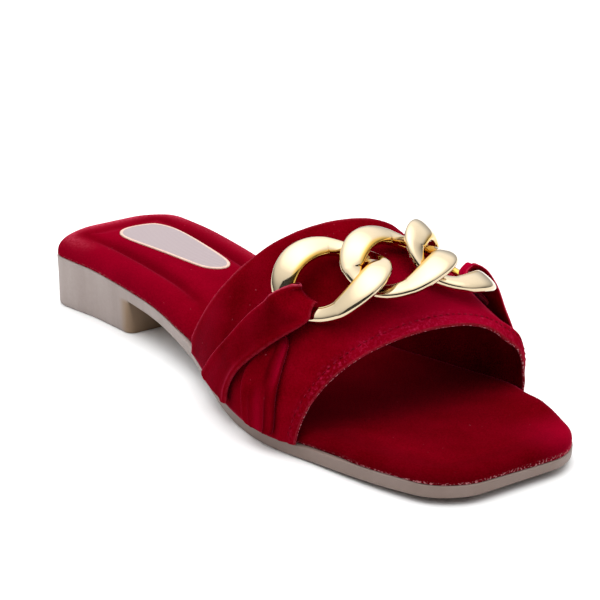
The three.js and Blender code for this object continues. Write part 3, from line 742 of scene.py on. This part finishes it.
def build_link(k, row):
    turns, sides = 180, 40
    c, u, v, n = link_frame(row)
    mid, face, wide, half = bar_section(np.linspace(0, 2 * math.pi, turns, endpoint=False) + 0.5 * 2 * math.pi / turns)
    ph = np.linspace(0, 2 * math.pi, sides, endpoint=False)
    pw = 2 / 2.5
    x = np.sign(np.cos(ph)) * np.abs(np.cos(ph)) ** pw
    z = np.sign(np.sin(ph)) * np.abs(np.sin(ph)) ** pw
    p = mid[:, None] + wide[:, None] * (half[:, None] * x[None])[..., None] + face[:, None] * (BAR_THICK / 2 * z)[None, :, None]
    w = c + p[..., 0:1] * u + p[..., 1:2] * v + p[..., 2:3] * n
    # painted reflection: deeper yellow on the inner wall, where metal faces metal and shows its own reflection
    inner = -x * np.sign(np.sum(wide * mid))
    painted_interreflection = np.broadcast_to(0.9 * ease((inner - 0.56) / 0.28), w.shape[:2])
    return piece(f"chain_link_{k}_look", w.reshape(-1, 3), grid_faces(turns, sides, wrap_n=True, wrap_m=True), GOLD, (f"chain_link_{k}",), attrs={"painted_interreflection": painted_interreflection})


# ------------------------------------------------------------------ straps
# rows as in the solid: on the band (s, t, height of both edges), over the end link's bar, under it and down again
STRAP_LATERAL = dict(
    link=0,
    up=[(127.8, 0.006, 1.6, 151.2, 0.006, 1.6), (136.5, 0.051, 1.7, 152.4, 0.030, 1.7), (147.8, 0.112, 2.2, 160.0, 0.080, 3.0),
        (157.3, 0.178, 4.0, 170.8, 0.150, 4.0), (162.6, 0.2117, 6.6, 174.3, 0.1796, 4.1)],
    over=[(181, 236, 0.9, 0.7, 2.75), (176, 237, 0, 0, 3.15), (170, 238, -0.8, -0.7, 2.75), (169, 236, -1, -1.8, 0.2)],
    down=[(164.4, 0.275, 2.2, 170.0, 0.265, 1.7), (162.6, 0.250, 1.5, 168.9, 0.241, 1.35), (163.8, 0.190, 1.5, 171.0, 0.207, 1.45),
          (165.5, 0.128, 1.6, 176.3, 0.180, 1.6), (162.6, 0.090, 1.6, 177.9, 0.147, 1.6), (161.7, 0.063, 1.6, 178.6, 0.117, 1.6),
          (162.1, 0.040, 1.6, 179.2, 0.080, 1.6), (163.6, 0.006, 1.6, 179.8, 0.006, 1.6)])
STRAP_MEDIAL = dict(
    link=2,
    up=[(181.5, 0.994, 1.6, 194.5, 0.994, 1.6), (181.0, 0.965, 1.6, 193.8, 0.962, 1.6), (180.2, 0.920, 2.0, 193.0, 0.915, 1.6),
        (178.4, 0.860, 3.3, 191.6, 0.855, 2.1), (176.2, 0.822, 4.2, 189.6, 0.815, 3.6)],
    over=[(30, -8, 1, 1.8, 3.4), (30, -6, 0, 0, 4.9), (30, -2, -0.8, -0.9, 3.9), (30, 4, -1, -2.0, 0.2)],
    down=[(181.5, 0.722, 1.3, 187.5, 0.705, 1.7), (181.7, 0.755, 1.25, 187.8, 0.735, 1.4), (178.5, 0.800, 1.4, 186.5, 0.790, 1.4),
          (172.0, 0.860, 1.5, 178.6, 0.850, 1.5), (167.5, 0.920, 1.6, 179.0, 0.915, 1.6), (165.0, 0.965, 1.6, 178.5, 0.962, 1.6),
          (164.0, 0.994, 1.6, 178.0, 0.994, 1.6)])


def through(rows, at):
    """Centripetal curve through rows of points, taken at the given row numbers."""
    rows = np.asarray(rows)
    last = len(rows) - 1

    def d(a, b):
        return np.maximum(np.sum((a - b) ** 2, -1, keepdims=True) ** 0.25, 1e-4)

    out = []
    for q in at:
        i = min(int(q), last - 1)
        w = q - i
        p1, p2 = rows[i], rows[i + 1]
        p0 = rows[i - 1] if i > 0 else 2 * p1 - p2
        p3 = rows[i + 2] if i < last - 1 else 2 * p2 - p1
        d0, d1, d2 = d(p0, p1), d(p1, p2), d(p2, p3)
        m1 = ((p1 - p0) / d0 - (p2 - p0) / (d0 + d1) + (p2 - p1) / d1) * d1
        m2 = ((p2 - p1) / d1 - (p3 - p1) / (d1 + d2) + (p3 - p2) / d2) * d1
        out.append(p1 + m1 * w + (-3 * p1 + 3 * p2 - 2 * m1 - m2) * w * w + (2 * p1 - 2 * p2 + m1 + m2) * w ** 3)
    return np.array(out)


def build_strap(name, node, strap, lateral):
    cols, n_len, n_ring = 49, 300, 84
    f = np.linspace(0, 1, cols)
    c, u, v, n = link_frame(LINKS[strap["link"]])
    rows = []

    def on_band(r):
        s, t, h = (r[k] + (r[k + 3] - r[k]) * f for k in range(3))
        o, _ = band_frame(s, t)
        return band(s, t) + o * h[:, None]

    for r in strap["up"]:
        rows.append(on_band(r))
    for a0, a1, share, add, rise in strap["over"]:
        mid, face, wide, half = bar_section(np.radians(a0 + (a1 - a0) * f))
        p = mid + wide * (share * half + add)[:, None] + face * rise
        rows.append(c + p[:, 0:1] * u + p[:, 1:2] * v + p[:, 2:3] * n)
    for r in strap["down"]:
        rows.append(on_band(r))
    k_over, k_down = len(strap["up"]), len(strap["up"]) + len(strap["over"])
    at = np.linspace(0, len(rows) - 1, n_len)
    M = through(rows, at)
    for _ in range(6):                      # take the last stiffness out of the curve
        M[1:-1] = 0.5 * M[1:-1] + 0.25 * (M[:-2] + M[2:])
    # corners of both feet are turned under in a small round
    for i, q in enumerate(at):
        near = min(q / 0.16, (len(rows) - 1 - q) / 0.30)
        if near < 1:
            cut = 1 - math.sqrt(1 - (1 - near) ** 2)
            g = 0.11 * cut + (1 - 0.11 * cut - 0.07 * cut) * f
            M[i] = np.stack([np.interp(g, f, M[i, :, k]) for k in range(3)], -1)
    tg = unit(np.gradient(M, axis=0))
    ac = np.gradient(M, axis=1)
    no = unit(np.cross(tg, ac))
    if np.dot(no[0, cols // 2], band_frame(strap["up"][0][0], strap["up"][0][1] + (0.02 if lateral else -0.02))[0]) < 0:
        no = -no
    half = 0.5 * np.linalg.norm(np.diff(M, axis=1), axis=2).sum(1)
    # ring round the strap's section, x across from -1 (heel side) to 1 (toe side)
    ph = np.linspace(0, 2 * math.pi, n_ring, endpoint=False)
    x = np.sign(np.cos(ph)) * np.abs(np.cos(ph)) ** 0.62
    up = np.sign(np.sin(ph))
    q = (x + 1) / 2 * (cols - 1)
    i0 = np.clip(q.astype(int), 0, cols - 2)
    w1 = (q - i0)[None, :, None]
    P0 = M[:, i0] * (1 - w1) + M[:, i0 + 1] * w1
    N0 = unit(no[:, i0] * (1 - w1) + no[:, i0 + 1] * w1)
    ax, xx, pos = np.abs(x)[None], x[None], at[:, None]
    round_at = 1 - 0.85 / half[:, None]
    puff = 0.60 + 0.14 * bump(ax - (1 - 1.8 / half[:, None]), 0.16)
    over = np.clip((ax - round_at) / (1 - round_at), 0, 1)
    h = puff * np.sqrt(np.maximum(0, 1 - over ** 2))
    fold = bump(pos - (k_over + 1.2), 1.7)          # gathers where it turns over the bar
    dn = 0.22 * fold * np.sin(6.0 * xx + 0.6) * (1 - ax ** 4)
    leg_up = 1 - ease((pos - k_over + 0.6) / 1.2)
    leg_down = ease((pos - k_down - 1.4) / 1.2)
    if lateral:
        # rolled toe-side edge of the upper leg with a soft dip beside it
        dn = dn + leg_up * (0.34 * bump(xx - 0.86, 0.16) - 0.24 * bump(xx - 0.46, 0.3) + 0.10 * bump(xx + 0.85, 0.15))
        # lower leg: rolled cord along the toe-side edge, running out downward, and pleats at the foot
        cord = leg_down * (1 - ease((pos - (k_down + 4.6)) / 1.6))
        dn = dn + cord * (1.15 * bump(xx - 0.78, 0.14) - 0.45 * bump(xx - 0.44, 0.14))
        foot = ease((pos - (k_down + 5.0)) / 1.6)
        dn = dn - foot * (0.70 * bump(xx - 0.60, 0.10) + 0.35 * bump(xx + 0.34, 0.12)) + foot * (0.50 * bump(xx - 0.08, 0.17) + 0.35 * bump(xx - 0.84, 0.10))
    else:
        dn = dn + (leg_up + leg_down) * (0.20 * bump(xx - 0.86, 0.16) - 0.16 * bump(xx, 0.4) + 0.12 * bump(xx + 0.85, 0.15))
    dn = dn + 0.09 * waves(P0[..., 0], P0[..., 1], P0[..., 2], 14, 21)
    X = P0 + N0 * (dn + h * up[None])[..., None]
    faces = grid_faces(n_len, n_ring, wrap_m=True)
    faces.append(tuple(range(n_ring)))
    faces.append(tuple((n_len - 1) * n_ring + k for k in reversed(range(n_ring))))
    # painted highlight along the edges: the heel-side edge of the lateral strap, faintly its toe-side edge; on the
    # medial strap all round, most where it turns over the bar
    rim = np.clip(1 - (1 - ax) * half[:, None] / (0.75 + 0.35 * leg_down), 0, 1)
    edge = rim * (np.where(xx < 0, 1.0, 0.16) if lateral else 0.22 + 0.6 * bump(pos - k_over - 1, 2.2)) * (up[None] > -0.5)
    edge = np.broadcast_to(edge, X.shape[:2])
    # painted shade where the strap goes under the bar, and on the lateral strap over its upper and lower legs, in the
    # creases beside the cord and between the pleats at the foot
    shade = (0.35 * bump(pos - k_down, 1.2) if lateral else 0.80 * bump(pos - k_down - 1.0, 1.7)) + 0 * xx
    if lateral:
        shade = shade + leg_up * (0.22 + 0.22 * ease((pos - 1.5) / 2)) * (1 - ax ** 3) + leg_down * 0.16 + cord * (0.45 * bump(xx - 0.44, 0.13) + 0.35 * bump(xx - 0.99, 0.08)) + foot * (0.50 * bump(xx - 0.60, 0.09) + 0.20 * bump(xx + 0.34, 0.12) + 0.35 * bump(xx - 0.99, 0.08))
        # painted highlight on the cord's ridge and the middle pleat at the foot
        painted_highlight = cord * 0.40 * bump(xx - 0.78, 0.14) + foot * 0.30 * bump(xx - 0.08, 0.17)
    else:
        # painted highlight on the medial strap's outer face where it loops over the link
        painted_highlight = 0.75 * ease((pos - k_over + 3.5) / 1.5) * (1 - ease((pos - k_down + 1.0) / 1.0)) * (up[None] > -0.5)
    shade, painted_highlight = (np.broadcast_to(np.clip(a, 0, 1), X.shape[:2]).ravel() for a in (shade, painted_highlight))
    return piece(name, X.reshape(-1, 3), faces, VELVET, (node,), attrs={"edge": edge.ravel(), "shade": shade, "painted_highlight": painted_highlight})


# ------------------------------------------------------------------ plain label patch on the insole
def build_label():
    outline = [(21.7, -8.6), (17.4, -3.0), (17.2, 3.0), (20.0, 9.0), (26.3, 12.9), (34.6, 13.8), (48.9, 12.9), (62.3, 12.0), (69.0, 10.8),
               (72.4, 8.2), (72.8, 4.4), (69.8, 0.0), (63.7, -2.7), (50.9, -5.6), (37.8, -8.4), (28.4, -9.8)]
    c = spline(outline, 160, closed=True)
    tg = unit(np.roll(c, -1, 0) - np.roll(c, 1, 0))
    inward = np.stack([-tg[:, 1], tg[:, 0]], -1)
    if np.sum(inward * (c.mean(0) - c)) < 0:
        inward = -inward

    def ground(p):
        s, y = p[:, 0], p[:, 1]
        d = np.minimum(np.minimum(y + half_width(s, -1, 0.3), half_width(s, 1, 0.3) - y), s - 0.3)
        return pad_height(s, d)

    rings = [(0.0, -0.3), (0.0, 0.22), (0.12, 0.36), (0.5, 0.46), (0.95, 0.42), (1.15, 0.26), (1.3, 0.24)]
    verts, faces, mats = [], [], []
    for d, h in rings:
        p = c + inward * d
        verts.append(np.column_stack([p, ground(p) + h]))
    inner = c + inward * 1.3
    mid = inner.mean(0)
    for f in (0.85, 0.65, 0.45, 0.25, 0.08):
        p = mid + (inner - mid) * f
        verts.append(np.column_stack([p, ground(p) + 0.24]))
    m = len(c)
    v = np.vstack(verts)
    for r in range(len(verts) - 1):
        for k in range(m):
            l = (k + 1) % m
            faces.append((r * m + k, r * m + l, (r + 1) * m + l, (r + 1) * m + k))
            mats.append(1 if r < 5 else 0)
    faces.append(tuple((len(verts) - 1) * m + k for k in range(m)))
    mats.append(0)
    faces.append(tuple(reversed(range(m))))
    mats.append(1)
    o = piece("label_patch", v, faces, LABEL, facing=True)
    o.data.materials.append(BORDER)
    o.data.polygons.foreach_set("material_index", mats)
    return o


build_sole()
build_insole()
build_upper()
build_stitches()
for k, row in enumerate(LINKS, 1):
    build_link(k, row)
build_strap("strap_lateral_look", "strap_lateral", STRAP_LATERAL, True)
build_strap("strap_medial_look", "strap_medial", STRAP_MEDIAL, False)
build_label()


# ------------------------------------------------------------------ floor, light, camera
def floor():
    me = bpy.data.meshes.new("floor")
    r, n = 12.0, 64
    pts = [(r * math.cos(2 * math.pi * k / n), r * math.sin(2 * math.pi * k / n), -0.0002) for k in range(n)]
    me.from_pydata(pts, [], [tuple(range(n))])
    mat, nt, bsdf, co = new_mat("floor_white")
    c = ramp(nt, noise(nt, co, 3, 2, 0.5).outputs["Fac"], [(0.3, (0.90, 0.90, 0.90)), (0.7, (0.93, 0.93, 0.93))])
    nt.links.new(c.outputs["Color"], bsdf.inputs["Base Color"])
    bsdf.inputs["Roughness"].default_value = 0.7
    bsdf.inputs["Specular IOR Level"].default_value = 0.1
    bsdf.inputs["Emission Color"].default_value = (1, 1, 1, 1)
    bsdf.inputs["Emission Strength"].default_value = 0.0
    me.materials.append(mat)
    o = bpy.data.objects.new("floor", me)
    bpy.context.scene.collection.objects.link(o)


floor()

world = bpy.data.worlds.new("studio")
bpy.context.scene.world = world
world.use_nodes = True
bg = world.node_tree.nodes["Background"]
wn = world.node_tree
sky = wn.nodes.new("ShaderNodeTexCoord")
split = wn.nodes.new("ShaderNodeSeparateXYZ")
wn.links.new(sky.outputs["Generated"], split.inputs["Vector"])
bright = ramp(wn, split.outputs["Z"], [(0.0, (0.03, 0.03, 0.03)), (0.12, (0.045, 0.045, 0.045)), (0.28, (0.16, 0.16, 0.16)), (0.46, (0.34, 0.34, 0.34)), (0.70, (0.46, 0.46, 0.46)), (0.88, (0.78, 0.78, 0.78)), (1.0, (1.0, 1.0, 1.0))])
# pale backdrop behind the shoe, seen from the camera
away = wn.nodes.new("ShaderNodeVectorMath")
away.operation = "DOT_PRODUCT"
wn.links.new(sky.outputs["Generated"], away.inputs[0])
away.inputs[1].default_value = (-0.807, 0.590, 0.0)
drop = ramp(wn, away.outputs["Value"], [(0.30, (0, 0, 0)), (0.80, (0.15, 0.15, 0.15))])
wn.links.new(mix_rgb(wn, 1.0, bright.outputs["Color"], drop.outputs["Color"], "ADD"), bg.inputs["Color"])
bg.inputs["Strength"].default_value = 3.0


def soft_box(name, place, target, w, h, watt, colour=(1, 1, 1)):
    d = bpy.data.lights.new(name, "AREA")
    d.shape = "RECTANGLE"
    d.size, d.size_y, d.energy, d.color = w, h, watt, colour
    o = bpy.data.objects.new(name, d)
    o.location = place
    o.rotation_euler = (Vector(target) - Vector(place)).to_track_quat("-Z", "Y").to_euler()
    o.visible_glossy = False
    bpy.context.scene.collection.objects.link(o)


soft_box("top", (-0.06, 0.02, 1.30), (0.0, 0, 0), 1.2, 1.2, 2.0)

AZ, EL, DIST = math.radians(-36.18), math.radians(21.86), 0.830
aim0 = Vector((0.0, SHIFT_Y * 0.001, 0.0))
back = Vector((math.cos(AZ) * math.cos(EL), math.sin(AZ) * math.cos(EL), math.sin(EL)))
cam = bpy.data.cameras.new("camera")
cam.sensor_width = 36.0
cam.lens = 100.7 * 1.36
cam.clip_start, cam.clip_end = 0.01, 60
eye = bpy.data.objects.new("camera", cam)
eye.location = aim0 + back * DIST
look = Vector((0.006, 0.0, 0.030)) + Vector((0.0, SHIFT_Y * 0.001 - 0.00147, 0.0))
eye.rotation_euler = (look - eye.location).to_track_quat("-Z", "Y").to_euler()
bpy.context.scene.collection.objects.link(eye)
bpy.context.scene.camera = eye
bpy.context.scene.view_settings.view_transform = "Standard"


def dark_card():
    """Dark side of the studio behind the camera; out of sight, it only takes light away and shows in the polished metal."""
    me = bpy.data.meshes.new("dark_card")
    d = Vector((math.cos(AZ), math.sin(AZ), 0))
    w = Vector((-math.sin(AZ), math.cos(AZ), 0))
    c = d * 1.6
    me.from_pydata([tuple(c - w * 1.5 + Vector((0, 0, 0.02))), tuple(c + w * 1.5 + Vector((0, 0, 0.02))),
                    tuple(c + w * 1.5 + Vector((0, 0, 1.20))), tuple(c - w * 1.5 + Vector((0, 0, 1.20)))], [], [(0, 1, 2, 3)])
    mat, nt, bsdf, co = new_mat("card_dark")
    bsdf.inputs["Base Color"].default_value = (0.03, 0.03, 0.03, 1)
    bsdf.inputs["Roughness"].default_value = 0.9
    me.materials.append(mat)
    o = bpy.data.objects.new("dark_card", me)
    o.visible_camera = False
    bpy.context.scene.collection.objects.link(o)


dark_card()
